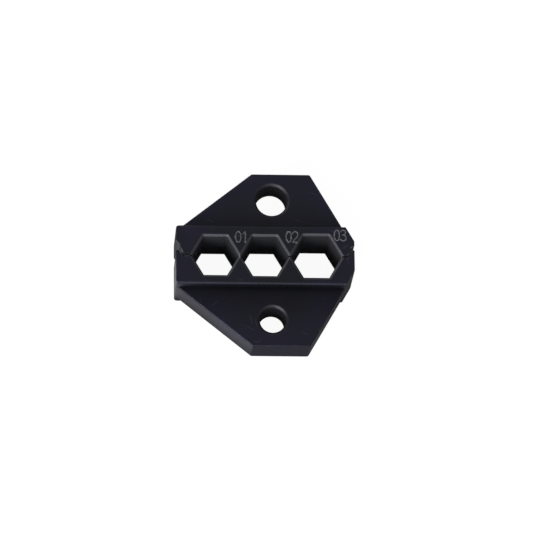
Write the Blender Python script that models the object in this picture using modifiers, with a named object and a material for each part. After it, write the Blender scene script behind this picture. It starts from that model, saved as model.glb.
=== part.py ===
# Crimp die set for an interchangeable-die hand crimping tool.
#
# The set is two hardened steel halves that meet on one parting plane. Each half has a thick nest,
# which holds one half of three hexagonal cavities, and a thinner tang, which the tool's jaw holds
# by a pin through its bore. The halves lie closed and face up: X runs along the nest, Y is the
# closing direction with the upper half at +Y, and Z is up, from the back faces to the front faces.

import math
from collections import namedtuple

import bpy
import bmesh
from mathutils import Matrix, Vector

MM = 0.001

# Nest: the thick bar with the cavities, one half on each side of the parting plane.
NEST_WIDTH = 44.4 * MM
UPPER_NEST_HEIGHT = 8.0 * MM
LOWER_NEST_HEIGHT = 7.5 * MM
NEST_THICKNESS = 14.0 * MM

# Tang: the thinner plate, set in from both faces of the nest.
DIE_HEIGHT = 22.7 * MM
TANG_THICKNESS = 8.2 * MM
UPPER_TANG_END_FROM_LEFT = 19.1 * MM
LOWER_TANG_END_FROM_LEFT = 19.0 * MM
UPPER_TANG_END_WIDTH = 14.6 * MM
LOWER_TANG_END_WIDTH = 14.25 * MM
UPPER_LEDGE_WIDTH = 0.8 * MM
LOWER_LEDGE_WIDTH = 0.5 * MM
RIGHT_SLOPE_INSET = 0.12 * MM

# The tang's root runs on inside the nest by its depth. Its left side stops below the shoulder by the relief.
TANG_ROOT_DEPTH = 0.9 * MM
TANG_ROOT_RELIEF = 0.2 * MM

# The nest's right end slopes in line with the tang's right side, down to this distance from the parting.
UPPER_RIGHT_SIDE_HEIGHT = 4.1 * MM
LOWER_RIGHT_SIDE_HEIGHT = 3.5 * MM

# Hexagonal cavities, by width across flats, from left to right.
CAVITY_FLATS = (10.0 * MM, 10.25 * MM, 10.9 * MM)
CAVITY_FROM_LEFT = 4.0 * MM
TOOTH_LAND = 0.6 * MM
CAVITY_LEAD = 0.5 * MM

# Retaining bores through the tangs.
BORE_FROM_END = 7.0 * MM
BORE_FROM_LEFT = 24.05 * MM
UPPER_BORE_DIAMETER = 7.75 * MM
LOWER_BORE_DIAMETER = 6.4 * MM
BORE_CHAMFER = 0.6 * MM

# Guides at the ends of the nest. The upper half has a rebate there, with a steep wall up to its neck and
# a slanting roof from the neck to the side. A wedge-shaped horn of the lower half stands in it.
LEFT_REBATE_WIDTH = 1.85 * MM
LEFT_NECK_WIDTH = 0.92 * MM
LEFT_NECK_RISE = 2.95 * MM
LEFT_REBATE_RISE = 3.95 * MM
LEFT_HORN_TOP_WIDTH = 0.5 * MM
LEFT_HORN_RISE = 1.55 * MM
RIGHT_REBATE_WIDTH = 1.5 * MM
RIGHT_NECK_WIDTH = 1.15 * MM
RIGHT_NECK_RISE = 2.2 * MM
RIGHT_REBATE_RISE = 2.9 * MM
RIGHT_HORN_TOP_WIDTH = 0.5 * MM
RIGHT_HORN_RISE = 1.75 * MM

# Running clearance on the parting plane and beside the foot of a horn.
PARTING_GAP = 0.3 * MM
GUIDE_GAP = 0.3 * MM

# Corner radii in the outline, and the rounding of the edges round the faces.
NEST_CORNER_RADIUS = 0.9 * MM
SLOPE_CORNER_RADIUS = 0.5 * MM
TANG_CORNER_RADIUS = 0.7 * MM
REBATE_CORNER_RADIUS = 0.25 * MM
HORN_CORNER_RADIUS = 0.22 * MM
SHOULDER_RADIUS = 0.8 * MM
NEST_EDGE_RADIUS = 0.18 * MM
TANG_EDGE_RADIUS = 0.4 * MM

# How fine the arcs and bores are, how far cutters run past the steel, and how edges are merged and shaded.
ARC_STEP = math.radians(15)
EDGE_SEGMENTS = 1
BORE_SEGMENTS = 64
CUT_CLEARANCE = 1.0 * MM
MERGE_DISTANCE = 0.01 * MM
SHARP_ANGLE = math.radians(28)

# Satin black oxide on steel, by linear colour, roughness and metallic share.
LOWER_FINISH = ((0.016, 0.015, 0.021), 0.42, 0.85)
UPPER_FINISH = ((0.018, 0.017, 0.024), 0.40, 0.85)

HALF_FACTS = "name side nest_height right_side_height tang_from tang_width ledge_width bore finish"
Half = namedtuple("Half", HALF_FACTS)
UPPER = Half(
    name="upper_die",
    side=1,
    nest_height=UPPER_NEST_HEIGHT,
    right_side_height=UPPER_RIGHT_SIDE_HEIGHT,
    tang_from=UPPER_TANG_END_FROM_LEFT,
    tang_width=UPPER_TANG_END_WIDTH,
    ledge_width=UPPER_LEDGE_WIDTH,
    bore=UPPER_BORE_DIAMETER,
    finish=UPPER_FINISH,
)
LOWER = Half(
    name="lower_die",
    side=-1,
    nest_height=LOWER_NEST_HEIGHT,
    right_side_height=LOWER_RIGHT_SIDE_HEIGHT,
    tang_from=LOWER_TANG_END_FROM_LEFT,
    tang_width=LOWER_TANG_END_WIDTH,
    ledge_width=LOWER_LEDGE_WIDTH,
    bore=LOWER_BORE_DIAMETER,
    finish=LOWER_FINISH,
)

LEFT = -NEST_WIDTH / 2
RIGHT = NEST_WIDTH / 2
MID_Z = NEST_THICKNESS / 2


def clear_scene():
    """Removes the startup objects."""
    for old in list(bpy.data.objects):
        bpy.data.objects.remove(old, do_unlink=True)


def collection_named(name):
    """A new collection in the scene."""
    made = bpy.data.collections.new(name)
    bpy.context.scene.collection.children.link(made)
    return made


def steel(name, color, roughness, metallic):
    """A plain steel material."""
    material = bpy.data.materials.new(name)
    material.use_nodes = True
    shader = material.node_tree.nodes["Principled BSDF"]
    shader.inputs["Base Color"].default_value = (*color, 1.0)
    shader.inputs["Roughness"].default_value = roughness
    shader.inputs["Metallic"].default_value = metallic
    return material


def hide_as_helper(obj):
    """Keeps a cutter or a joined shape out of the finished part."""
    obj.hide_render = True
    obj.display_type = "WIRE"


def rounded_outline(corners):
    """The closed outline through corners (x, y, radius), with each corner turned into an arc."""
    points = []
    count = len(corners)
    for index, (x, y, radius) in enumerate(corners):
        corner = Vector((x, y))
        before = Vector(corners[index - 1][:2]) - corner
        after = Vector(corners[(index + 1) % count][:2]) - corner
        if radius == 0:
            points.append(corner)
            continue
        half_angle = before.angle(after) / 2
        reach = radius / math.tan(half_angle)
        start = corner + before.normalized() * reach
        end = corner + after.normalized() * reach
        middle = (before.normalized() + after.normalized()).normalized()
        centre = corner + middle * (radius / math.sin(half_angle))
        turn = math.pi - 2 * half_angle
        steps = max(1, round(turn / ARC_STEP))
        first = start - centre
        last = end - centre
        for step in range(steps + 1):
            share = step / steps
            weight_first = math.sin((1 - share) * turn) / math.sin(turn)
            weight_last = math.sin(share * turn) / math.sin(turn)
            points.append(centre + first * weight_first + last * weight_last)
    return points


def extruded(name, points, thickness, edge_radius, matrix, collection):
    """A flat outline made solid by half the thickness each way, with its face edges rounded."""
    curve = bpy.data.curves.new(name + "_outline", "CURVE")
    curve.dimensions = "2D"
    curve.fill_mode = "BOTH"
    curve.extrude = thickness / 2 - edge_radius
    curve.bevel_depth = edge_radius
    curve.bevel_resolution = EDGE_SEGMENTS
    curve.offset = -edge_radius
    spline = curve.splines.new("POLY")
    spline.points.add(len(points) - 1)
    for target, point in zip(spline.points, points):
        target.co = (point.x, point.y, 0.0, 1.0)
    spline.use_cyclic_u = True
    guide = bpy.data.objects.new(name + "_guide", curve)
    guide.matrix_world = matrix
    collection.objects.link(guide)
    bpy.context.view_layer.update()
    evaluated = guide.evaluated_get(bpy.context.evaluated_depsgraph_get())
    mesh = bpy.data.meshes.new_from_object(evaluated)
    solid = bpy.data.objects.new(name, mesh)
    solid.matrix_world = guide.matrix_world.copy()
    collection.objects.link(solid)
    bpy.data.objects.remove(guide, do_unlink=True)
    form = bmesh.new()
    form.from_mesh(mesh)
    bmesh.ops.remove_doubles(form, verts=form.verts, dist=MERGE_DISTANCE)
    bmesh.ops.recalc_face_normals(form, faces=form.faces)
    form.to_mesh(mesh)
    form.free()
    return solid


def plate(name, corners, thickness, edge_radius, collection):
    """A plate that lies flat, centred on the middle of the nest's thickness."""
    place = Matrix.Translation((0.0, 0.0, MID_Z))
    return extruded(name, rounded_outline(corners), thickness, edge_radius, place, collection)


def shoulder_cutter(half, place, face, collection):
    """Rounds a shoulder of the half's nest, where face is 1 in front and -1 behind.

    The section is drawn with Y along the closing direction and Z up, seen along the nest. Its
    concave arc touches the shoulder and the face, and its first and last chords run on past them."""
    centre = Vector((half.nest_height - SHOULDER_RADIUS, NEST_THICKNESS / 2 - SHOULDER_RADIUS))
    steps = round(math.radians(90) / ARC_STEP)
    arc = []
    for step in range(steps + 1):
        angle = math.radians(90) * (1 - step / steps)
        arc.append(centre + SHOULDER_RADIUS * Vector((math.cos(angle), math.sin(angle))))
    run_in = arc[0] + (arc[0] - arc[1]).normalized() * CUT_CLEARANCE
    run_out = arc[-1] + (arc[-1] - arc[-2]).normalized() * CUT_CLEARANCE
    outer_y = half.nest_height + CUT_CLEARANCE
    outer_z = NEST_THICKNESS / 2 + CUT_CLEARANCE
    section = [run_in, *arc, run_out]
    section += [Vector((outer_y, run_out.y)), Vector((outer_y, outer_z)), Vector((run_in.x, outer_z))]
    section = [Vector((half.side * point.x, face * point.y)) for point in section]
    along_nest = Matrix(((0, 0, 1, 0), (1, 0, 0, 0), (0, 1, 0, MID_Z), (0, 0, 0, 1)))
    length = NEST_WIDTH + 2 * CUT_CLEARANCE
    cutter = extruded(f"{half.name}_{place}_shoulder", section, length, 0.0, along_nest, collection)
    hide_as_helper(cutter)
    return cutter


def turned_cutter(name, radius, lead, x, y, depth, sides, collection):
    """A bore through the full depth with flared mouths: round, or hexagonal with six sides.

    The radius reaches the corners of the section, and lead is the flare of its flat sides."""
    corner_flare = 1 / math.cos(math.pi / sides)
    mouth = depth / 2
    beyond = mouth + CUT_CLEARANCE
    wide = radius + (lead + CUT_CLEARANCE) * corner_flare
    profile = [
        (0.0, beyond),
        (wide, beyond),
        (radius, mouth - lead),
        (radius, lead - mouth),
        (wide, -beyond),
        (0.0, -beyond),
    ]
    mesh = bpy.data.meshes.new(name)
    lines = [(index, index + 1) for index in range(len(profile) - 1)]
    mesh.from_pydata([(across, 0.0, height) for across, height in profile], lines, [])
    cutter = bpy.data.objects.new(name, mesh)
    cutter.location = (x, y, MID_Z)
    collection.objects.link(cutter)
    turn = cutter.modifiers.new("Turn", "SCREW")
    turn.axis = "Z"
    turn.angle = math.radians(360)
    turn.steps = sides
    turn.render_steps = sides
    turn.use_merge_vertices = True
    turn.merge_threshold = MERGE_DISTANCE
    hide_as_helper(cutter)
    return cutter


def add_boolean(target, operation, other):
    """Joins or cuts with another object, which follows its own sizes."""
    step = target.modifiers.new(f"{operation.title()} {other.name}", "BOOLEAN")
    step.operation = operation
    step.object = other
    step.solver = "EXACT"


def tang_end(half):
    """Left and right corner of a tang's flat end, along X."""
    end_left = LEFT + half.tang_from
    return end_left, end_left + half.tang_width


def at_height(low, high, y):
    """X at this height on the straight line through two points."""
    return low[0] + (high[0] - low[0]) * (y - low[1]) / (high[1] - low[1])


def nest_end_slope(half):
    """X where the sloping right end of the nest leaves its shoulder."""
    tang_corner = (tang_end(half)[1] + RIGHT_SLOPE_INSET, DIE_HEIGHT)
    return at_height((RIGHT, half.right_side_height), tang_corner, half.nest_height)


def upper_nest_corners():
    """Outline of the upper nest, with a rebate at both ends of its parting face."""
    face_y = PARTING_GAP / 2
    shoulder_x = nest_end_slope(UPPER)
    return [
        (LEFT + LEFT_REBATE_WIDTH, face_y, REBATE_CORNER_RADIUS),
        (RIGHT - RIGHT_REBATE_WIDTH, face_y, REBATE_CORNER_RADIUS),
        (RIGHT - RIGHT_NECK_WIDTH, RIGHT_NECK_RISE, REBATE_CORNER_RADIUS),
        (RIGHT, RIGHT_REBATE_RISE, REBATE_CORNER_RADIUS),
        (RIGHT, UPPER_RIGHT_SIDE_HEIGHT, SLOPE_CORNER_RADIUS),
        (shoulder_x, UPPER_NEST_HEIGHT, SLOPE_CORNER_RADIUS),
        (LEFT, UPPER_NEST_HEIGHT, NEST_CORNER_RADIUS),
        (LEFT, LEFT_REBATE_RISE, REBATE_CORNER_RADIUS),
        (LEFT + LEFT_NECK_WIDTH, LEFT_NECK_RISE, REBATE_CORNER_RADIUS),
    ]


def lower_nest_corners():
    """Outline of the lower nest, with a guide horn at each end of its parting face."""
    face_y = -PARTING_GAP / 2
    shoulder_x = nest_end_slope(LOWER)
    left_foot = LEFT_REBATE_WIDTH - GUIDE_GAP
    right_foot = RIGHT_REBATE_WIDTH - GUIDE_GAP
    return [
        (LEFT, -LOWER_NEST_HEIGHT, NEST_CORNER_RADIUS),
        (shoulder_x, -LOWER_NEST_HEIGHT, SLOPE_CORNER_RADIUS),
        (RIGHT, -LOWER_RIGHT_SIDE_HEIGHT, SLOPE_CORNER_RADIUS),
        (RIGHT, RIGHT_HORN_RISE, HORN_CORNER_RADIUS),
        (RIGHT - RIGHT_HORN_TOP_WIDTH, RIGHT_HORN_RISE, HORN_CORNER_RADIUS),
        (RIGHT - right_foot, face_y, HORN_CORNER_RADIUS),
        (LEFT + left_foot, face_y, HORN_CORNER_RADIUS),
        (LEFT + LEFT_HORN_TOP_WIDTH, LEFT_HORN_RISE, HORN_CORNER_RADIUS),
        (LEFT, LEFT_HORN_RISE, HORN_CORNER_RADIUS),
    ]


def tang_corners(half):
    """Outline of a tang, whose root runs on inside the nest."""
    end_left, end_right = tang_end(half)
    root_y = half.nest_height - TANG_ROOT_DEPTH
    join_y = half.nest_height - TANG_ROOT_RELIEF
    left_foot = (LEFT + half.ledge_width, half.nest_height)
    right_foot = (nest_end_slope(half) - RIGHT_SLOPE_INSET, half.nest_height)
    join_left = at_height(left_foot, (end_left, DIE_HEIGHT), join_y)
    root_right = at_height(right_foot, (end_right, DIE_HEIGHT), root_y)
    corners = [
        (join_left, join_y, 0),
        (join_left, root_y, 0),
        (root_right, root_y, 0),
        (end_right, DIE_HEIGHT, TANG_CORNER_RADIUS),
        (end_left, DIE_HEIGHT, TANG_CORNER_RADIUS),
    ]
    return [(x, half.side * y, radius) for x, y, radius in corners]


def cavity_cutters(collection):
    """One hexagonal cutter for each cavity, which both halves share."""
    cutters = []
    left_corner = LEFT + CAVITY_FROM_LEFT
    for number, flats in enumerate(CAVITY_FLATS, start=1):
        radius = flats / math.sqrt(3)
        centre_x = left_corner + radius
        name = f"cavity_cutter_{number}"
        cutters.append(turned_cutter(name, radius, CAVITY_LEAD, centre_x, 0.0, NEST_THICKNESS, 6, collection))
        left_corner = centre_x + radius + TOOTH_LAND
    return cutters


def die_half(half, nest_outline, parts, helpers, cavities):
    """One half of the set: nest and tang in one piece, with its cavity halves and its bore."""
    body = plate(half.name, nest_outline, NEST_THICKNESS, NEST_EDGE_RADIUS, parts)
    for face, place in ((1, "front"), (-1, "back")):
        add_boolean(body, "DIFFERENCE", shoulder_cutter(half, place, face, helpers))
    tang = plate(half.name + "_tang", tang_corners(half), TANG_THICKNESS, TANG_EDGE_RADIUS, helpers)
    hide_as_helper(tang)
    add_boolean(body, "UNION", tang)
    for cavity in cavities:
        add_boolean(body, "DIFFERENCE", cavity)
    bore = turned_cutter(
        half.name + "_bore",
        half.bore / 2,
        BORE_CHAMFER,
        LEFT + BORE_FROM_LEFT,
        half.side * (DIE_HEIGHT - BORE_FROM_END),
        TANG_THICKNESS,
        BORE_SEGMENTS,
        helpers,
    )
    add_boolean(body, "DIFFERENCE", bore)
    body.data.materials.append(steel(half.name + "_steel", *half.finish))
    body.data.shade_smooth()
    body.data.set_sharp_from_angle(angle=SHARP_ANGLE)
    return body


def build():
    """Builds the closed die set."""
    clear_scene()
    parts = collection_named("crimp_die_set")
    helpers = collection_named("cutters")
    cavities = cavity_cutters(helpers)
    die_half(LOWER, lower_nest_corners(), parts, helpers, cavities)
    upper = die_half(UPPER, upper_nest_corners(), parts, helpers, cavities)
    slide = bpy.data.objects.new("crimp_stroke_axis", None)
    slide.location = (0.0, 0.0, MID_Z)
    parts.objects.link(slide)
    bpy.context.view_layer.update()
    upper.parent = slide
    upper.matrix_parent_inverse = slide.matrix_world.inverted()


build()
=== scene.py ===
# %% [markdown]
# # A crimp die set, closed and lying face up
#
# Two hardened steel halves meet on one parting plane. Between them they form three hexagonal cavities, in
# which a hand tool squeezes the ferrules of cable connectors. The frame holds the measured solids of both
# halves. This lesson dresses them: it models each half again with fine roundings, flared cavities and
# engraved numbers, and gives it a worn black oxide finish.

# %% Load the frame
import math

import bpy
import bmesh
from mathutils import Matrix, Vector


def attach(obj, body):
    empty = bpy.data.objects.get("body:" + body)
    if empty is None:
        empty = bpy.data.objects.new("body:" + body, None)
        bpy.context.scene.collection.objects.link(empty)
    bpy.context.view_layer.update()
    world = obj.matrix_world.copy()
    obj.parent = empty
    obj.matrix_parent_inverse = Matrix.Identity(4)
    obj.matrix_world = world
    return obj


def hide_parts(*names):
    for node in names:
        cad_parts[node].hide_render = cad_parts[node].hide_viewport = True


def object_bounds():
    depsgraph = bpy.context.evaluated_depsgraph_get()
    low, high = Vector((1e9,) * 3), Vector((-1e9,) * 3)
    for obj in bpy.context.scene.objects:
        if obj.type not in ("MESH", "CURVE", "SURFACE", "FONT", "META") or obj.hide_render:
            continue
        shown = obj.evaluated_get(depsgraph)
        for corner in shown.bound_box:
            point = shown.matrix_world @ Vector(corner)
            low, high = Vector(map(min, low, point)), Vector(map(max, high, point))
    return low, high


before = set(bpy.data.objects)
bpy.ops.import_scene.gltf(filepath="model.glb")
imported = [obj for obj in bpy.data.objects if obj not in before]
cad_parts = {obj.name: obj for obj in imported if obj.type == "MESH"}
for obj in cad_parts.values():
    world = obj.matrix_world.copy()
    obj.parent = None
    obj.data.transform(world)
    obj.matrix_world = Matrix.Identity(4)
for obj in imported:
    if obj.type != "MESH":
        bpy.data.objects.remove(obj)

MM = 0.001
cad_box = [list(corner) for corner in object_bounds()]
print("nodes in the frame:", sorted(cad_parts))

# %% [markdown]
# ## The camera
#
# The set was photographed from above with a long lens, turned and tilted a little, so that the left ends and
# the lower sides of both halves show. Three small turns and a distance describe that view. A camera can be
# aimed with a constraint, but writing its axes as a matrix keeps the roll exact.

# %% Camera
VIEW_YAW = math.radians(3.839)
VIEW_PITCH = math.radians(-19.141)
VIEW_ROLL = math.radians(0.621)
VIEW_DISTANCE = 1.0
VIEW_OFFSET = Vector((4.205 * MM, -1.269 * MM))
VIEW_CENTRE = Vector((-2.654 * MM, 0.0, 7.0 * MM))
IMAGE_PIXELS = 540
PIXEL_SIZE = 0.2496 * MM
VIEW_WIDTH = IMAGE_PIXELS * PIXEL_SIZE
SENSOR_WIDTH = 36.0
FARTHEST = 10.0

turn = Matrix.Rotation(VIEW_ROLL, 3, "Z")
turn = turn @ Matrix.Rotation(VIEW_PITCH, 3, "X") @ Matrix.Rotation(VIEW_YAW, 3, "Y")
camera_data = bpy.data.cameras.new("photo_camera")
camera_data.sensor_width = SENSOR_WIDTH
camera_data.lens = VIEW_DISTANCE / VIEW_WIDTH * SENSOR_WIDTH
camera_data.clip_end = FARTHEST
camera = bpy.data.objects.new("photo_camera", camera_data)
bpy.context.scene.collection.objects.link(camera)
stand = turn.transposed() @ Vector((*VIEW_OFFSET, VIEW_DISTANCE)) + VIEW_CENTRE
camera.matrix_world = Matrix.Translation(stand) @ turn.transposed().to_4x4()
bpy.context.scene.camera = camera
print(f"lens {camera_data.lens:.1f} mm, camera at {[round(value, 3) for value in stand]}")

# %% [markdown]
# ## The studio
#
# A light tent surrounds the set with white, so the dark steel shows soft reflections and the ground stays
# white. The world plays the tent: its left side is a little paler than the rest. Four wide lamps give the
# rounded edges their light, and the strongest stands at the front left. The floor shines of its own for the
# camera, so that it comes out white and still keeps the shadow. A photographer also lays a white card beside
# dark steel, to give its sides a pale reflection. A brighter lamp could do that too, but it would wash out
# the chamfers of the cavities, so a card lies to the left of the set.

# %% World
TENT_LEFT = 0.56
TENT_RIGHT = 0.51
TENT_TOWARDS_LEFT = (-0.95, 0.0, -0.3)
TENT_FADE = (-0.6, 0.9)
WHITE = (1.0, 1.0, 1.0, 1.0)


def build_world():
    """A tent with a pale left side, which the camera sees as plain white."""
    world = bpy.data.worlds.new("light_tent")
    world.use_nodes = True
    nodes, links = world.node_tree.nodes, world.node_tree.links
    nodes.clear()
    place = nodes.new("ShaderNodeTexCoord")
    along = nodes.new("ShaderNodeVectorMath")
    along.operation = "DOT_PRODUCT"
    along.inputs[1].default_value = TENT_TOWARDS_LEFT
    links.new(place.outputs["Generated"], along.inputs[0])
    pale = nodes.new("ShaderNodeMapRange")
    pale.inputs["From Min"].default_value, pale.inputs["From Max"].default_value = TENT_FADE
    pale.inputs["To Min"].default_value, pale.inputs["To Max"].default_value = TENT_RIGHT, TENT_LEFT
    links.new(along.outputs["Value"], pale.inputs["Value"])
    tent = nodes.new("ShaderNodeBackground")
    links.new(pale.outputs["Result"], tent.inputs["Strength"])
    white = nodes.new("ShaderNodeBackground")
    rays = nodes.new("ShaderNodeLightPath")
    seen = nodes.new("ShaderNodeMixShader")
    out = nodes.new("ShaderNodeOutputWorld")
    for background in (tent, white):
        background.inputs["Color"].default_value = WHITE
    links.new(rays.outputs["Is Camera Ray"], seen.inputs["Fac"])
    links.new(tent.outputs[0], seen.inputs[1])
    links.new(white.outputs[0], seen.inputs[2])
    links.new(seen.outputs[0], out.inputs["Surface"])
    return world


bpy.context.scene.world = build_world()
bpy.context.scene.view_settings.view_transform = "Standard"
print("world:", bpy.context.scene.world.name)

# %% Lamps
LAMPS = {
    "front_softbox": {"at": (0.0, -0.55, 0.42), "size": (0.7, 0.3), "power": 1.6},
    "back_softbox": {"at": (-0.1, 0.62, 0.22), "size": (0.8, 0.3), "power": 0.5},
    "left_softbox": {"at": (-0.38, -0.45, 0.3), "size": (0.5, 0.3), "power": 5.5},
    "left_back_softbox": {"at": (-0.45, 0.48, 0.1), "size": (0.5, 0.18), "power": 0.6},
}


def add_softbox(name, at, size, power):
    """A wide lamp that looks at the middle of the set."""
    lamp = bpy.data.lights.new(name, "AREA")
    lamp.shape = "RECTANGLE"
    lamp.size, lamp.size_y = size
    lamp.energy = power
    holder = bpy.data.objects.new(name, lamp)
    holder.location = at
    holder.rotation_euler = Vector(at).to_track_quat("Z", "Y").to_euler()
    bpy.context.scene.collection.objects.link(holder)


for lamp_name, facts in LAMPS.items():
    add_softbox(lamp_name, facts["at"], facts["size"], facts["power"])
print("lamps:", ", ".join(LAMPS))

# %% Floor
FLOOR_SIZE = 3.0
FLOOR_DROP = 0.02 * MM
FLOOR_GLOW = 0.94
PAPER_TONE, MIRRORED_TONE, SHADOW_TONE = 0.8, 0.3, 0.1


def paper_shader(nodes, tone):
    """A matt shader in one tone of grey."""
    paper = nodes.new("ShaderNodeBsdfDiffuse")
    paper.inputs["Color"].default_value = (tone, tone, tone, 1.0)
    return paper


def build_floor_material():
    """White paper. The camera sees it glow, white with a faint shadow, and steel mirrors it dimly."""
    material = bpy.data.materials.new("white_paper")
    material.use_nodes = True
    nodes, links = material.node_tree.nodes, material.node_tree.links
    nodes.clear()
    paper = paper_shader(nodes, PAPER_TONE)
    mirrored = paper_shader(nodes, MIRRORED_TONE)
    shadow = paper_shader(nodes, SHADOW_TONE)
    glow = nodes.new("ShaderNodeEmission")
    glow.inputs["Strength"].default_value = FLOOR_GLOW
    both = nodes.new("ShaderNodeAddShader")
    rays = nodes.new("ShaderNodeLightPath")
    glossy = nodes.new("ShaderNodeMixShader")
    mix = nodes.new("ShaderNodeMixShader")
    out = nodes.new("ShaderNodeOutputMaterial")
    links.new(rays.outputs["Is Glossy Ray"], glossy.inputs["Fac"])
    links.new(paper.outputs[0], glossy.inputs[1])
    links.new(mirrored.outputs[0], glossy.inputs[2])
    links.new(shadow.outputs[0], both.inputs[0])
    links.new(glow.outputs[0], both.inputs[1])
    links.new(rays.outputs["Is Camera Ray"], mix.inputs["Fac"])
    links.new(glossy.outputs[0], mix.inputs[1])
    links.new(both.outputs[0], mix.inputs[2])
    links.new(mix.outputs[0], out.inputs["Surface"])
    return material


floor_mesh = bpy.data.meshes.new("studio_floor")
sheet = bmesh.new()
bmesh.ops.create_grid(sheet, x_segments=1, y_segments=1, size=FLOOR_SIZE / 2)
sheet.to_mesh(floor_mesh)
sheet.free()
floor = bpy.data.objects.new("studio_floor", floor_mesh)
floor.location.z = cad_box[0][2] - FLOOR_DROP
floor_mesh.materials.append(build_floor_material())
bpy.context.scene.collection.objects.link(floor)
print("floor at z =", round(floor.location.z, 5))

# %% Reflector card
CARD_CORNERS = ((-23.0, 3.0), (-90.0, 3.0), (-90.0, -80.0), (-6.0, -80.0), (-6.0, -23.2), (-23.0, -9.0))
CARD_DROP = 0.01 * MM
CARD_GLOW = 1.2


def build_card():
    """A white card to the left of the set, which only the steel sees, as a reflection in its sides."""
    sheet = bmesh.new()
    low = cad_box[0][2] - CARD_DROP
    sheet.faces.new([sheet.verts.new((x * MM, y * MM, low)) for x, y in CARD_CORNERS])
    mesh = bpy.data.meshes.new("reflector_card")
    sheet.to_mesh(mesh)
    sheet.free()
    material = bpy.data.materials.new("white_card")
    material.use_nodes = True
    nodes = material.node_tree.nodes
    nodes.clear()
    glow = nodes.new("ShaderNodeEmission")
    glow.inputs["Strength"].default_value = CARD_GLOW
    out = nodes.new("ShaderNodeOutputMaterial")
    material.node_tree.links.new(glow.outputs[0], out.inputs["Surface"])
    mesh.materials.append(material)
    card = bpy.data.objects.new("reflector_card", mesh)
    card.visible_camera = card.visible_diffuse = card.visible_shadow = card.visible_transmission = False
    bpy.context.scene.collection.objects.link(card)
    return card


print("card:", build_card().name)

# %% [markdown]
# ## Sizes
#
# These are the measured sizes of the set, in millimetres, the same as in the frame's solids. The roundings
# are new: the long shoulders are rounded widely, and the other edges only as much as stoning takes off.

# %% Sizes
LEFT, RIGHT = -22.2, 22.2
MID_Z = 7.0
NEST_THICKNESS, TANG_THICKNESS, DIE_HEIGHT = 14.0, 8.2, 22.7
NEST_HEIGHT = {"upper": 8.0, "lower": 7.5}
SIDE_HEIGHT = {"upper": 4.1, "lower": 3.5}
TANG_END = {"upper": (-3.1, 11.5), "lower": (-3.2, 11.05)}
LEDGE_WIDTH = {"upper": 0.8, "lower": 0.5}
SLOPE_INSET = 0.12
CAVITY_FLATS = (10.0, 10.25, 10.9)
CAVITY_FROM_LEFT, TOOTH_LAND, CAVITY_LEAD = 4.0, 0.6, 0.5
BORE_X, BORE_Y, BORE_LEAD = 1.85, 15.7, 0.6
BORE_DIAMETER = {"upper": 7.75, "lower": 6.4}
PARTING_GAP = GUIDE_GAP = 0.3
HALF_GAP = PARTING_GAP / 2
REBATE_WIDTH = {"left": 1.85, "right": 1.5}
REBATE_NECK = {"left": (0.92, 2.95), "right": (1.15, 2.2)}
REBATE_RISE = {"left": 3.95, "right": 2.9}
HORN_TOP = {"left": (0.5, 1.55), "right": (0.5, 1.75)}
print("the set is", RIGHT - LEFT, "x", 2 * DIE_HEIGHT, "x", NEST_THICKNESS, "mm")

# %% [markdown]
# ## Outlines with soft corners
#
# Each block is a flat outline given a thickness. A bevel modifier could round its edges, but on a ground die
# the rounding changes from side to side: wide on the shoulders, almost none on the parting face. So each
# point of the outline carries its own outward normal and its own rounding, and the block is a skin of rings
# that step in along those normals.

# %% Rounded outline
ARC_STEP = math.radians(7.5)


def rounded_outline(corners):
    """Points (place, outward normal, rounding) along a closed outline that runs anticlockwise.

    A corner is (x, y, corner radius, rounding of the side that follows it)."""
    points = []
    count = len(corners)
    for index, (x, y, radius, round_after) in enumerate(corners):
        corner = Vector((x, y))
        arriving = (corner - Vector(corners[index - 1][:2])).normalized()
        leaving = (Vector(corners[(index + 1) % count][:2]) - corner).normalized()
        round_before = corners[index - 1][3]
        turned = math.atan2(arriving.x * leaving.y - arriving.y * leaving.x, arriving.dot(leaving))
        reach = radius * math.tan(abs(turned) / 2)
        hand = math.copysign(1.0, turned)
        first_normal = Vector((arriving.y, -arriving.x))
        centre = corner - arriving * reach - first_normal * radius * hand
        steps = max(1, round(abs(turned) / ARC_STEP))
        for step in range(steps + 1):
            share = step / steps
            normal = first_normal.copy()
            normal.rotate(Matrix.Rotation(turned * share, 2))
            blend = share * share * (3 - 2 * share)
            rounding = round_before + (round_after - round_before) * blend
            points.append((centre + normal * radius * hand, normal, rounding))
    return points


# %% Skin of rings
def skin(name, rings):
    """A closed mesh from rings of equal length, each a list of places, with a cap on both ends."""
    form = bmesh.new()
    loops = [[form.verts.new(place * MM) for place in ring] for ring in rings]
    count = len(loops[0])
    for low, high in zip(loops, loops[1:]):
        for index in range(count):
            after = (index + 1) % count
            form.faces.new((low[index], low[after], high[after], high[index]))
    form.faces.new(list(reversed(loops[0])))
    form.faces.new(loops[-1])
    bmesh.ops.recalc_face_normals(form, faces=form.faces)
    mesh = bpy.data.meshes.new(name)
    form.to_mesh(mesh)
    form.free()
    made = bpy.data.objects.new(name, mesh)
    bpy.context.scene.collection.objects.link(made)
    return made


# %% Rounded plate
ROUND_STEPS = 5


def rounded_plate(name, outline, thickness):
    """A plate with the outline's own rounding along the edges of its front and its back."""
    rings = []
    half = thickness / 2
    angles = [math.radians(90) * step / ROUND_STEPS for step in range(ROUND_STEPS + 1)]
    for face, order in ((-1, reversed(angles)), (1, angles)):
        for angle in order:
            ring = []
            for place, normal, rounding in outline:
                inset = rounding * (1 - math.cos(angle))
                height = half - rounding * (1 - math.sin(angle))
                spot = place - normal * inset
                ring.append(Vector((spot.x, spot.y, MID_Z + face * height)))
            rings.append(ring)
    return skin(name, rings)


print("outline helpers are ready")

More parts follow.
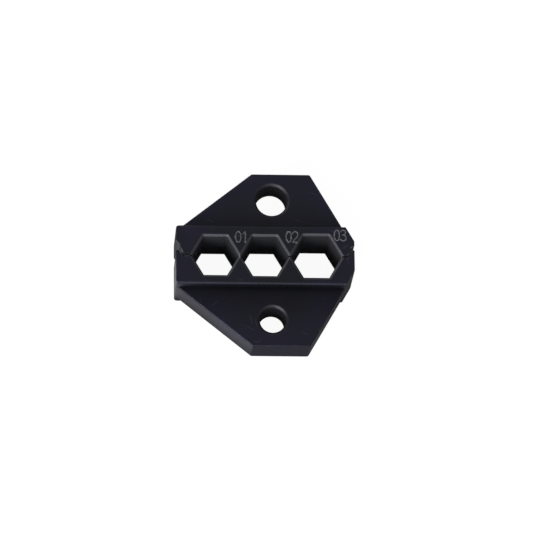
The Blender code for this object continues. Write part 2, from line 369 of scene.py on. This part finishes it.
# %% [markdown]
# ## The nests
#
# The nest is the thick bar along the parting plane. The upper one has a rebate at both ends, with a steep
# wall and a slanting roof. A wedge-shaped horn of the lower one stands in it and lines the halves up. The
# right end slopes in line with the tang. Rebates and horns could be cut from a box or joined to it, but as
# corners of the outline they share its roundings and leave no seams.

# %% Nest outlines
SHOULDER_ROUND, SIDE_ROUND, REBATE_ROUND, FINE_ROUND = 0.8, 0.2, 0.1, 0.12
REBATE_RADIUS, HORN_RADIUS = 0.28, 0.22


def at_height(low, high, y):
    """X at this height on the straight line through two points."""
    return low[0] + (high[0] - low[0]) * (y - low[1]) / (high[1] - low[1])


def shoulder_x(which):
    """X where the sloping right end of the nest leaves its shoulder."""
    tang_corner = (TANG_END[which][1] + SLOPE_INSET, DIE_HEIGHT)
    return at_height((RIGHT, SIDE_HEIGHT[which]), tang_corner, NEST_HEIGHT[which])


def upper_nest_outline():
    """The upper nest, anticlockwise from the left end of its parting face."""
    return rounded_outline([
        (LEFT + REBATE_WIDTH["left"], HALF_GAP, REBATE_RADIUS, FINE_ROUND),
        (RIGHT - REBATE_WIDTH["right"], HALF_GAP, REBATE_RADIUS, REBATE_ROUND),
        (RIGHT - REBATE_NECK["right"][0], REBATE_NECK["right"][1], REBATE_RADIUS, REBATE_ROUND),
        (RIGHT, REBATE_RISE["right"], 0.35, SIDE_ROUND),
        (RIGHT, SIDE_HEIGHT["upper"], 0.5, SIDE_ROUND),
        (shoulder_x("upper"), NEST_HEIGHT["upper"], 0.6, SHOULDER_ROUND),
        (LEFT, NEST_HEIGHT["upper"], 0.9, SIDE_ROUND),
        (LEFT, REBATE_RISE["left"], REBATE_RADIUS, REBATE_ROUND),
        (LEFT + REBATE_NECK["left"][0], REBATE_NECK["left"][1], REBATE_RADIUS, REBATE_ROUND),
    ])


def lower_nest_outline():
    """The lower nest, anticlockwise from the left end of its shoulder."""
    return rounded_outline([
        (LEFT, -NEST_HEIGHT["lower"], 0.82, SHOULDER_ROUND),
        (shoulder_x("lower"), -NEST_HEIGHT["lower"], 0.6, SIDE_ROUND),
        (RIGHT, -SIDE_HEIGHT["lower"], 0.5, SIDE_ROUND),
        (RIGHT, HORN_TOP["right"][1], HORN_RADIUS, FINE_ROUND),
        (RIGHT - HORN_TOP["right"][0], HORN_TOP["right"][1], HORN_RADIUS, FINE_ROUND),
        (RIGHT - REBATE_WIDTH["right"] + GUIDE_GAP, -HALF_GAP, HORN_RADIUS, FINE_ROUND),
        (LEFT + REBATE_WIDTH["left"] - GUIDE_GAP, -HALF_GAP, HORN_RADIUS, FINE_ROUND),
        (LEFT + HORN_TOP["left"][0], HORN_TOP["left"][1], HORN_RADIUS, FINE_ROUND),
        (LEFT, HORN_TOP["left"][1], 0.25, SIDE_ROUND),
    ])


print(f"the shoulders end at x = {shoulder_x('upper'):.2f} and {shoulder_x('lower'):.2f} mm")

# %% [markdown]
# ## The tangs
#
# The tang is the thinner plate that the tool's jaw holds. Both sides slope in towards a flat end. It could
# be drawn for each half, but the two differ only in their sizes, so one outline serves both, and the lower
# one is its mirror image. Its root runs on inside the nest, so that joining the two leaves no seam.

# %% Tang outline
ROOT_DEPTH, ROOT_RELIEF, TANG_ROUND = 0.9, 0.2, 0.4
ROOT_RADIUS, END_RADIUS = 0.42, 0.7


def tang_outline(which):
    """The tang's outline, anticlockwise for either half."""
    nest_y = NEST_HEIGHT[which]
    end_left, end_right = TANG_END[which]
    join_y = nest_y - ROOT_RELIEF
    root_y = nest_y - ROOT_DEPTH
    join_left = at_height((LEFT + LEDGE_WIDTH[which], nest_y), (end_left, DIE_HEIGHT), join_y)
    root_right = at_height((shoulder_x(which) - SLOPE_INSET, nest_y), (end_right, DIE_HEIGHT), root_y)
    corners = [
        (join_left, join_y, ROOT_RADIUS, TANG_ROUND),
        (join_left, root_y, ROOT_RADIUS, TANG_ROUND),
        (root_right, root_y, ROOT_RADIUS, TANG_ROUND),
        (end_right, DIE_HEIGHT, END_RADIUS, TANG_ROUND),
        (end_left, DIE_HEIGHT, END_RADIUS, TANG_ROUND),
    ]
    if which == "lower":
        corners = [(x, -y, radius, rounding) for x, y, radius, rounding in reversed(corners)]
    return rounded_outline(corners)


print("tang outline has", len(tang_outline("upper")), "points")

# %% [markdown]
# ## Cutters for the cavities and the bores
#
# A cavity is wire-cut through both halves at once, and its mouths are flared so that a ferrule finds its way
# in. The cutter is a skin again: its rings grow towards the mouth, first along a chamfer and then faster, so
# that the cut leaves a soft lip on the front face.

# %% Flared cutter
LIP = 0.1
OVERSHOOT = 0.3


def flared_cutter(name, outline, depth, lead):
    """A cutter right through the depth, flared by lead at both mouths, with rounded lips."""
    half = depth / 2
    profile = [(0.0, half - lead - LIP), (0.03, half - lead), (LIP, half - lead + LIP)]
    profile += [(lead - 0.03, half - LIP * 0.6), (lead + LIP * 0.5, half - 0.02)]
    profile += [(lead + LIP * 2, half + 0.03), (lead + LIP * 4, half + OVERSHOOT)]
    rings = []
    for face, order in ((-1, reversed(profile)), (1, profile)):
        for grow, height in order:
            ring = [place + normal * grow for place, normal, _ in outline]
            rings.append([Vector((spot.x, spot.y, MID_Z + face * height)) for spot in ring])
    return skin(name, rings)


def polygon_outline(centre, radius, sides, corner_radius):
    """A regular polygon with its first corner to the right, as an outline with normals."""
    corners = []
    for index in range(sides):
        angle = math.radians(360) * index / sides
        corners.append((centre[0] + radius * math.cos(angle), centre[1] + radius * math.sin(angle)))
    return rounded_outline([(x, y, corner_radius, 0.0) for x, y in corners])


# %% Places of the cavities
CAVITY_CORNER_RADIUS = 0.18


def cavity_places():
    """Centre and corner radius of each hexagon, from left to right."""
    places = []
    left_corner = LEFT + CAVITY_FROM_LEFT
    for flats in CAVITY_FLATS:
        radius = flats / math.sqrt(3)
        places.append((left_corner + radius, radius))
        left_corner += 2 * radius + TOOTH_LAND
    return places


for centre_x, reach in cavity_places():
    print(f"cavity at x = {centre_x:.2f} mm, {reach * math.sqrt(3):.2f} mm across flats")

# %% Bore outline
BORE_POINTS = 120


def circle_outline(centre, radius):
    """A circle as an outline with normals."""
    points = []
    for index in range(BORE_POINTS):
        angle = math.radians(360) * index / BORE_POINTS
        normal = Vector((math.cos(angle), math.sin(angle)))
        points.append((Vector(centre) + normal * radius, normal, 0.0))
    return points


# %% [markdown]
# ## Engraved numbers
#
# A small round cutter engraves the number of each cavity beside it, in strokes of even width with round
# ends. Text objects have flat, printed letters, so each digit is drawn here as one or two strokes along
# curves, and each stroke becomes a shallow groove with sloping walls. Any plain numbers do: these count the
# cavities.

# %% Strokes of the digits
DIGIT_STROKES = {
    "0": [
        [((0.27, 0.98), (-0.03, 0.98), (-0.03, 0.02), (0.27, 0.02))],
        [((0.27, 0.02), (0.57, 0.02), (0.57, 0.98), (0.27, 0.98))],
    ],
    "1": [
        [((0.08, 0.76), (0.16, 0.82), (0.24, 0.90), (0.31, 0.98))],
        [((0.31, 0.98), (0.31, 0.66), (0.31, 0.34), (0.31, 0.02))],
    ],
    "2": [
        [
            ((0.03, 0.74), (0.05, 1.06), (0.49, 1.06), (0.49, 0.72)),
            ((0.49, 0.72), (0.49, 0.48), (0.22, 0.32), (0.03, 0.02)),
        ],
        [((0.03, 0.02), (0.20, 0.02), (0.36, 0.02), (0.52, 0.02))],
    ],
    "3": [
        [
            ((0.05, 0.86), (0.20, 1.06), (0.48, 0.98), (0.46, 0.74)),
            ((0.46, 0.74), (0.44, 0.56), (0.32, 0.54), (0.20, 0.54)),
        ],
        [
            ((0.20, 0.54), (0.34, 0.54), (0.50, 0.48), (0.50, 0.28)),
            ((0.50, 0.28), (0.50, -0.06), (0.16, -0.06), (0.02, 0.14)),
        ],
    ],
}
DIGIT_HEIGHT, DIGIT_PITCH = 2.9, 1.62
DIGIT_WIDTH = 0.54 * DIGIT_HEIGHT
STROKE_HALF_WIDTH, STROKE_DEPTH = 0.095, 0.12
NUMBER_PLACES = {"01": (-5.95, 4.9), "02": (6.6, 5.0), "03": (18.6, 5.55)}
print("digits:", ", ".join(DIGIT_STROKES))

# %% Groove cutters
CURVE_STEPS = 9
SAME_POINT = 0.01
CAP_STEPS = 6


def stroke_path(pieces, origin):
    """Points along a stroke of one or more curves, placed with its digit's lower left corner at origin."""
    path = []
    for piece in pieces:
        handles = [Vector((x * DIGIT_HEIGHT, y * DIGIT_HEIGHT, 0.0)) for x, y in piece]
        for step in range(CURVE_STEPS):
            share = step / (CURVE_STEPS - 1)
            rest = 1 - share
            weights = (rest ** 3, 3 * rest * rest * share, 3 * rest * share * share, share ** 3)
            spot = sum((handle * weight for handle, weight in zip(handles, weights)), Vector())
            if not path or (spot.xy + origin - path[-1]).length > SAME_POINT:
                path.append(spot.xy + origin)
    return path


def stroke_outline(path):
    """The outline round a path, with half circles at both ends, as places on the path and normals."""
    points = []
    ends = len(path) - 1
    for way in (1, -1):
        order = range(len(path)) if way == 1 else range(ends, -1, -1)
        for index in order:
            along = (path[min(index + 1, ends)] - path[max(index - 1, 0)]).normalized() * way
            normal = Vector((along.y, -along.x))
            points.append((path[index], normal, 0.0))
        for step in range(1, CAP_STEPS):
            turned = normal.copy()
            turned.rotate(Matrix.Rotation(math.radians(180) * step / CAP_STEPS, 2))
            points.append((path[order[-1]], turned, 0.0))
    return points


def groove_cutter(name, path):
    """A shallow groove with a narrow floor and sloping walls, cut into the front face."""
    front = MID_Z + NEST_THICKNESS / 2
    levels = [(STROKE_HALF_WIDTH * 0.6, -STROKE_DEPTH), (STROKE_HALF_WIDTH, -STROKE_DEPTH * 0.8)]
    levels += [(STROKE_HALF_WIDTH * 1.5, 0.0), (STROKE_HALF_WIDTH * 2.0, 0.15)]
    rings = []
    for grow, height in levels:
        ring = [place + normal * grow for place, normal, _ in stroke_outline(path)]
        rings.append([Vector((spot.x, spot.y, front + height)) for spot in ring])
    return skin(name, rings)


# %% [markdown]
# ## Shader groups
#
# Five effects are shared by the finishes. The oxide is a salt-bath coating: it is uneven in tone, grey round
# the cavities and bluer towards the ends. Under it run the fine lines of surface grinding. Handling adds
# short scratches, and the sharp edges wear back to bright steel in places. The fifth is painted shade: beside
# the nest the tang's colour is darkened, where the nest's shoulder shades it. Painted images could show all
# this, but noise has no seams and no fixed resolution. Each effect is a node group with its own inputs, so
# each finish has its own measure of it.

# %% Group helpers
def new_group(name, inputs, outputs):
    """An empty shader node group with float inputs and the named float outputs."""
    group = bpy.data.node_groups.new(name, "ShaderNodeTree")
    for label, value in inputs.items():
        socket = group.interface.new_socket(label, in_out="INPUT", socket_type="NodeSocketFloat")
        socket.default_value = value
    for label in outputs:
        group.interface.new_socket(label, in_out="OUTPUT", socket_type="NodeSocketFloat")
    start = group.nodes.new("NodeGroupInput")
    end = group.nodes.new("NodeGroupOutput")
    return group, start, end


def math_node(tree, operation, *values):
    """A math node between sockets or numbers, and its output."""
    node = tree.nodes.new("ShaderNodeMath")
    node.operation = operation
    for slot, value in enumerate(values):
        if isinstance(value, (int, float)):
            node.inputs[slot].default_value = value
        else:
            tree.links.new(value, node.inputs[slot])
    return node.outputs[0]


def ramp_node(tree, value, low, high):
    """Turns a value from low to high into a soft step from 0 to 1."""
    node = tree.nodes.new("ShaderNodeMapRange")
    node.interpolation_type = "SMOOTHSTEP"
    node.inputs["From Min"].default_value = low
    node.inputs["From Max"].default_value = high
    tree.links.new(value, node.inputs["Value"])
    return node.outputs["Result"]


def object_place(tree):
    """The place on the object, in metres."""
    return tree.nodes.new("ShaderNodeTexCoord").outputs["Object"]


def object_noise(tree, scale, detail, stretch=(1.0, 1.0, 1.0), turned=0.0, offset=0.0):
    """Noise over the object, with scale in features per metre, stretched along its turned axes."""
    turning = tree.nodes.new("ShaderNodeVectorRotate")
    turning.rotation_type = "Z_AXIS"
    turning.inputs["Angle"].default_value = turned
    mapping = tree.nodes.new("ShaderNodeMapping")
    mapping.inputs["Location"].default_value = (offset, offset, offset)
    mapping.inputs["Scale"].default_value = stretch
    noise = tree.nodes.new("ShaderNodeTexNoise")
    noise.inputs["Detail"].default_value = detail
    tree.links.new(object_place(tree), turning.inputs["Vector"])
    tree.links.new(turning.outputs[0], mapping.inputs["Vector"])
    tree.links.new(mapping.outputs[0], noise.inputs["Vector"])
    if isinstance(scale, (int, float)):
        noise.inputs["Scale"].default_value = scale
    else:
        tree.links.new(scale, noise.inputs["Scale"])
    return noise.outputs["Fac"]


print("group helpers are ready")

# %% Oxide mottle
CLOUD_SHARE, OUTWARD_SHARE = 0.45, 0.55
OUTWARD_FROM, OUTWARD_TO = 14 * MM, 25 * MM


def build_oxide_mottle():
    """Tone is the slow cloud of the coating, stronger away from the middle. Grain is its crystal texture."""
    group, start, end = new_group(
        "oxide_mottle", {"Cloud Scale": 130.0, "Grain Scale": 6000.0}, ("Tone", "Grain")
    )
    cloud = object_noise(group, start.outputs["Cloud Scale"], 4.0)
    grain = object_noise(group, start.outputs["Grain Scale"], 2.0, offset=0.3)
    reach = group.nodes.new("ShaderNodeVectorMath")
    reach.operation = "LENGTH"
    group.links.new(object_place(group), reach.inputs[0])
    outward = ramp_node(group, reach.outputs["Value"], OUTWARD_FROM, OUTWARD_TO)
    clouded = math_node(group, "MULTIPLY", ramp_node(group, cloud, 0.32, 0.68), CLOUD_SHARE)
    tone = math_node(group, "MULTIPLY_ADD", outward, OUTWARD_SHARE, clouded)
    group.links.new(tone, end.inputs["Tone"])
    group.links.new(ramp_node(group, grain, 0.25, 0.75), end.inputs["Grain"])
    return group


# %% Grinding lines
FINE_LINE_SHARE, BROAD_LINE_SHARE = 0.7, 0.3
BROAD_LINE_SCALE = 1400.0


def build_grinding_lines():
    """Height of the fine parallel lines that a surface grinder leaves along the nest."""
    group, start, end = new_group("grinding_lines", {"Line Scale": 9000.0}, ("Height",))
    fine = object_noise(group, start.outputs["Line Scale"], 3.0, stretch=(0.012, 1.0, 1.0))
    broad = object_noise(group, BROAD_LINE_SCALE, 2.0, stretch=(0.03, 1.0, 1.0), offset=0.7)
    fine_part = math_node(group, "MULTIPLY", fine, FINE_LINE_SHARE)
    broad_part = math_node(group, "MULTIPLY", broad, BROAD_LINE_SHARE)
    group.links.new(math_node(group, "ADD", fine_part, broad_part), end.inputs["Height"])
    return group


# %% Handling scratches
SCRATCH_SCALE, PATCH_SCALE = 5200.0, 240.0
SCRATCH_DIRECTIONS = ((0.4, 0.1), (1.3, 0.5), (2.5, 0.9))


def build_handling_scratches():
    """Mask of thin scratches in three directions, in patches. Amount is how bright they are."""
    group, start, end = new_group("handling_scratches", {"Amount": 0.5}, ("Mask",))
    total = None
    for turned, offset in SCRATCH_DIRECTIONS:
        line = object_noise(group, SCRATCH_SCALE, 1.0, (0.02, 1.0, 0.4), turned, offset)
        patch = object_noise(group, PATCH_SCALE, 1.0, turned=turned, offset=offset + 0.2)
        thin = ramp_node(group, line, 0.72, 0.80)
        kept = math_node(group, "MULTIPLY", thin, ramp_node(group, patch, 0.5, 0.65))
        total = kept if total is None else math_node(group, "MAXIMUM", total, kept)
    group.links.new(math_node(group, "MULTIPLY", total, start.outputs["Amount"]), end.inputs["Mask"])
    return group


# %% Edge wear
WEAR_SAMPLES = 12
WEAR_PATCH_SCALE = 1000.0
WEAR_INPUTS = {"Reach": 0.16 * MM, "Amount": 1.0, "Break Up": 1.0}


def build_edge_wear():
    """Mask of the outward edges, found by looking for nearby surface inside the steel, and broken up."""
    group, start, end = new_group("edge_wear", WEAR_INPUTS, ("Mask",))
    inside = group.nodes.new("ShaderNodeAmbientOcclusion")
    inside.inside = True
    inside.only_local = True
    inside.samples = WEAR_SAMPLES
    group.links.new(start.outputs["Reach"], inside.inputs["Distance"])
    edge = ramp_node(group, math_node(group, "SUBTRACT", 1.0, inside.outputs["AO"]), 0.04, 0.3)
    rough = ramp_node(group, object_noise(group, WEAR_PATCH_SCALE, 4.0, offset=0.4), 0.53, 0.64)
    covered = math_node(group, "SUBTRACT", 1.0, rough)
    broken = math_node(group, "MULTIPLY", start.outputs["Break Up"], covered)
    worn = math_node(group, "MULTIPLY", edge, math_node(group, "SUBTRACT", 1.0, broken))
    group.links.new(math_node(group, "MULTIPLY", worn, start.outputs["Amount"]), end.inputs["Mask"])
    return group


# %% Tang painted shade
SHADE_FROM, SHADE_TO = 8.5 * MM, 19 * MM
TANG_FACE, NEST_FACE = 4.5 * MM, 5.5 * MM


def build_tang_shade():
    """Painted shade on a tang's colour: a share that is lowest beside the nest and rises to 1 near its end.
    """
    group, start, end = new_group("tang_shade", {"Deepest": 0.5}, ("Open",))
    split = group.nodes.new("ShaderNodeSeparateXYZ")
    group.links.new(object_place(group), split.inputs[0])
    from_parting = math_node(group, "ABSOLUTE", split.outputs["Y"])
    along_tang = ramp_node(group, from_parting, SHADE_FROM, SHADE_TO)
    from_middle = math_node(group, "ABSOLUTE", math_node(group, "SUBTRACT", split.outputs["Z"], MID_Z * MM))
    on_nest = ramp_node(group, from_middle, TANG_FACE, NEST_FACE)
    kept = math_node(group, "MAXIMUM", along_tang, on_nest)
    lift = math_node(group, "SUBTRACT", 1.0, start.outputs["Deepest"])
    share = math_node(group, "MULTIPLY_ADD", kept, lift, start.outputs["Deepest"])
    group.links.new(share, end.inputs["Open"])
    return group


MOTTLE = build_oxide_mottle()
GRINDING = build_grinding_lines()
SCRATCHES = build_handling_scratches()
WEAR = build_edge_wear()
SHADE = build_tang_shade()
print("groups:", ", ".join(group.name for group in (MOTTLE, GRINDING, SCRATCHES, WEAR, SHADE)))

# %% [markdown]
# ## Finishes
#
# Black oxide is a thin dark coating on steel, so it keeps a metal's sheen but hardly any of its light. The
# shader is mostly metallic with a very dark tint, which drifts from grey to blue. Seen at a low angle a metal
# mirrors almost everything, and the edge tint holds that back a little, because the coating is porous. Where
# the mask of wear or scratches is high, the colour turns to bare steel and the surface gets smoother.

# %% Finish helpers
BARE_STEEL = (0.55, 0.545, 0.55, 1.0)
EDGE_TINT = (0.8, 0.8, 0.82, 1.0)
# Black that the painted shade beside the nest mixes into the tangs' colour.
PAINTED_SHADE_BLACK = (0.0, 0.0, 0.0, 1.0)


def use_group(tree, group, **values):
    """Places a group in a material and sets its inputs."""
    node = tree.nodes.new("ShaderNodeGroup")
    node.node_tree = group
    for label, value in values.items():
        node.inputs[label.replace("_", " ").title()].default_value = value
    return node


def mix_colours(tree, share, first, second):
    """A colour between two colours or colour sockets."""
    node = tree.nodes.new("ShaderNodeMix")
    node.data_type = "RGBA"
    tree.links.new(share, node.inputs["Factor"])
    for label, value in (("A", first), ("B", second)):
        socket = next(s for s in node.inputs if s.name == label and s.type == "RGBA")
        if isinstance(value, tuple):
            socket.default_value = value
        else:
            tree.links.new(value, socket)
    return next(s for s in node.outputs if s.type == "RGBA")


def new_material(name):
    """A new material, its node tree and its Principled shader."""
    material = bpy.data.materials.new(name)
    material.use_nodes = True
    return material, material.node_tree, material.node_tree.nodes["Principled BSDF"]


print("finish helpers are ready")

# %% Oxide finish
GRAIN_ROUGHNESS, TONE_ROUGHNESS, WORN_SMOOTHNESS = 0.1, 0.06, 0.12
GRAIN_HEIGHT, BUMP_STRENGTH = 0.35, 0.6
SCRATCH_AMOUNT = 0.15


def oxide_finish(name, grey, blue, roughness, metallic, worn, wear_reach, line_depth, deepest):
    """Black oxide on ground steel, with its own pair of dark tints and its own wear."""
    material, tree, shader = new_material(name)
    mottle = use_group(tree, MOTTLE, cloud_scale=130.0, grain_scale=6000.0)
    wear = use_group(tree, WEAR, reach=wear_reach, amount=worn, break_up=1.0)
    scratches = use_group(tree, SCRATCHES, amount=SCRATCH_AMOUNT)
    lines = use_group(tree, GRINDING, line_scale=9000.0)
    shade = use_group(tree, SHADE, deepest=deepest)
    toned_oxide = mix_colours(tree, mottle.outputs["Tone"], grey, blue)
    # Painted shade: on the tangs, the colour is mixed towards black near the nest.
    oxide = mix_colours(tree, shade.outputs["Open"], PAINTED_SHADE_BLACK, toned_oxide)
    bare = math_node(tree, "MAXIMUM", wear.outputs["Mask"], scratches.outputs["Mask"])
    tree.links.new(mix_colours(tree, bare, oxide, BARE_STEEL), shader.inputs["Base Color"])
    lowest = roughness - GRAIN_ROUGHNESS / 2
    matt = math_node(tree, "MULTIPLY_ADD", mottle.outputs["Grain"], GRAIN_ROUGHNESS, lowest)
    toned = math_node(tree, "MULTIPLY_ADD", mottle.outputs["Tone"], TONE_ROUGHNESS, matt)
    smooth = math_node(tree, "MULTIPLY", bare, WORN_SMOOTHNESS)
    tree.links.new(math_node(tree, "SUBTRACT", toned, smooth), shader.inputs["Roughness"])
    shader.inputs["Metallic"].default_value = metallic
    shader.inputs["Specular Tint"].default_value = EDGE_TINT
    bump = tree.nodes.new("ShaderNodeBump")
    bump.inputs["Distance"].default_value = line_depth
    bump.inputs["Strength"].default_value = BUMP_STRENGTH
    height = math_node(tree, "MULTIPLY_ADD", mottle.outputs["Grain"], GRAIN_HEIGHT, lines.outputs["Height"])
    tree.links.new(height, bump.inputs["Height"])
    tree.links.new(bump.outputs["Normal"], shader.inputs["Normal"])
    return material


# %% The four oxide finishes
# The last entry of each finish is the lowest share of colour that the painted shade on the tangs leaves; 1
# paints no shade.
OXIDES = {
    "upper": {
        "grey": (0.0175, 0.0185, 0.0235, 1.0), "blue": (0.0205, 0.0193, 0.0350, 1.0),
        "roughness": 0.40, "metallic": 0.85, "worn": 1.0, "wear_reach": 0.16 * MM,
        "line_depth": 0.004 * MM, "deepest": 0.88,
    },
    "lower": {
        "grey": (0.0165, 0.0175, 0.0220, 1.0), "blue": (0.0200, 0.0188, 0.0340, 1.0),
        "roughness": 0.42, "metallic": 0.85, "worn": 1.0, "wear_reach": 0.16 * MM,
        "line_depth": 0.004 * MM, "deepest": 0.65,
    },
    # The cavity walls get a paler colour than the faces. This is painted light that lifts walls the shaded
    # floor below leaves dark.
    "cavity": {
        "grey": (0.038, 0.040, 0.047, 1.0), "blue": (0.044, 0.043, 0.052, 1.0),
        "roughness": 0.48, "metallic": 0.6, "worn": 1.0, "wear_reach": 0.16 * MM,
        "line_depth": 0.003 * MM, "deepest": 1.0,
    },
    # The bore walls get a darker colour than the tangs. This is painted shade inside the bores.
    "bore": {
        "grey": (0.013, 0.0135, 0.018, 1.0), "blue": (0.016, 0.0155, 0.020, 1.0),
        "roughness": 0.44, "metallic": 0.6, "worn": 0.3, "wear_reach": 0.12 * MM,
        "line_depth": 0.003 * MM, "deepest": 1.0,
    },
}
FINISHES = {name: oxide_finish(f"{name}_black_oxide", **facts) for name, facts in OXIDES.items()}
print("finishes:", ", ".join(material.name for material in FINISHES.values()))

# %% [markdown]
# ## The engraved strokes
#
# The grooves of the numbers were cut after blackening, so they show pale, rough steel that has begun to
# tarnish. Paint of one colour would look printed. So it shares the mottle of the coating, in lighter tones
# and at a finer scale.

# %% Engraved finish
ENGRAVED_DARK, ENGRAVED_PALE = (0.09, 0.09, 0.098, 1.0), (0.14, 0.14, 0.15, 1.0)
ENGRAVED_ROUGHNESS, ENGRAVED_GRAIN = 0.5, 0.2
ENGRAVED_METALLIC = 0.4


def engraved_finish():
    """Pale matt steel at the bottom of the engraved strokes."""
    material, tree, shader = new_material("engraved_steel")
    mottle = use_group(tree, MOTTLE, cloud_scale=1500.0, grain_scale=9000.0)
    pale = mix_colours(tree, mottle.outputs["Tone"], ENGRAVED_DARK, ENGRAVED_PALE)
    tree.links.new(pale, shader.inputs["Base Color"])
    rough = math_node(tree, "MULTIPLY_ADD", mottle.outputs["Grain"], ENGRAVED_GRAIN, ENGRAVED_ROUGHNESS)
    tree.links.new(rough, shader.inputs["Roughness"])
    shader.inputs["Metallic"].default_value = ENGRAVED_METALLIC
    return material


FINISHES["engraved"] = engraved_finish()
print("engraved finish:", FINISHES["engraved"].name)

# %% [markdown]
# ## Cutting the steel
#
# Each half starts as its nest. The tang is joined to it, and then the cavities, the bore and the strokes are
# cut. The Boolean modifier's exact solver can hand over the cutter's material to the faces that it cuts, so
# the cavity walls and the engraved strokes get their own finishes.

# %% Booleans
def combine(base, operation, tools):
    """Joins or cuts a shape with each tool in turn, and makes the result its mesh."""
    for tool in tools:
        step = base.modifiers.new(operation.title(), "BOOLEAN")
        step.operation = operation
        step.solver = "EXACT"
        step.material_mode = "TRANSFER"
        step.object = tool
    bpy.context.view_layer.update()
    result = bpy.data.meshes.new_from_object(base.evaluated_get(bpy.context.evaluated_depsgraph_get()))
    base.modifiers.clear()
    base.data = result
    for tool in tools:
        bpy.data.objects.remove(tool, do_unlink=True)


def finished_with(shape, finish):
    """Gives a new shape one of the finishes."""
    shape.data.materials.append(FINISHES[finish])
    return shape


# %% Engraving
def number_cutters():
    """All strokes of the numbers, as groove cutters."""
    grooves = []
    for digits, (centre_x, centre_y) in NUMBER_PLACES.items():
        left = centre_x - (DIGIT_PITCH * (len(digits) - 1) + DIGIT_WIDTH) / 2
        for place, digit in enumerate(digits):
            origin = Vector((left + place * DIGIT_PITCH, centre_y - DIGIT_HEIGHT / 2))
            for number, pieces in enumerate(DIGIT_STROKES[digit]):
                name = f"stroke_{digits}_{place}_{number}"
                grooves.append(finished_with(groove_cutter(name, stroke_path(pieces, origin)), "engraved"))
    return grooves


# %% One half
SHARP_ANGLE = math.radians(32)


def build_half(which, nest_outline):
    """One half of the set, cut, smoothed and fixed to its body."""
    side = 1 if which == "upper" else -1
    half = finished_with(rounded_plate(f"{which}_die_body", nest_outline, NEST_THICKNESS), which)
    tang = finished_with(rounded_plate(f"{which}_tang", tang_outline(which), TANG_THICKNESS), which)
    combine(half, "UNION", [tang])
    cutters = []
    for place, (centre, radius) in enumerate(cavity_places()):
        hexagon = polygon_outline((centre, 0.0), radius, 6, CAVITY_CORNER_RADIUS)
        cutter = flared_cutter(f"cavity_{place}", hexagon, NEST_THICKNESS, CAVITY_LEAD)
        cutters.append(finished_with(cutter, "cavity"))
    bore = circle_outline((BORE_X, side * BORE_Y), BORE_DIAMETER[which] / 2)
    cutters.append(finished_with(flared_cutter("bore", bore, TANG_THICKNESS, BORE_LEAD), "bore"))
    if which == "upper":
        cutters += number_cutters()
    combine(half, "DIFFERENCE", cutters)
    half.data.shade_smooth()
    half.data.set_sharp_from_angle(angle=SHARP_ANGLE)
    even = half.modifiers.new("Even shading", "WEIGHTED_NORMAL")
    even.keep_sharp = True
    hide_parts(f"{which}_die")
    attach(half, f"{which}_die")
    print(half.name, "has", len(half.data.polygons), "faces")


# %% Build both halves
build_half("lower", lower_nest_outline())
build_half("upper", upper_nest_outline())

# %% Sizes of the frame
print("frame:", cad_box)
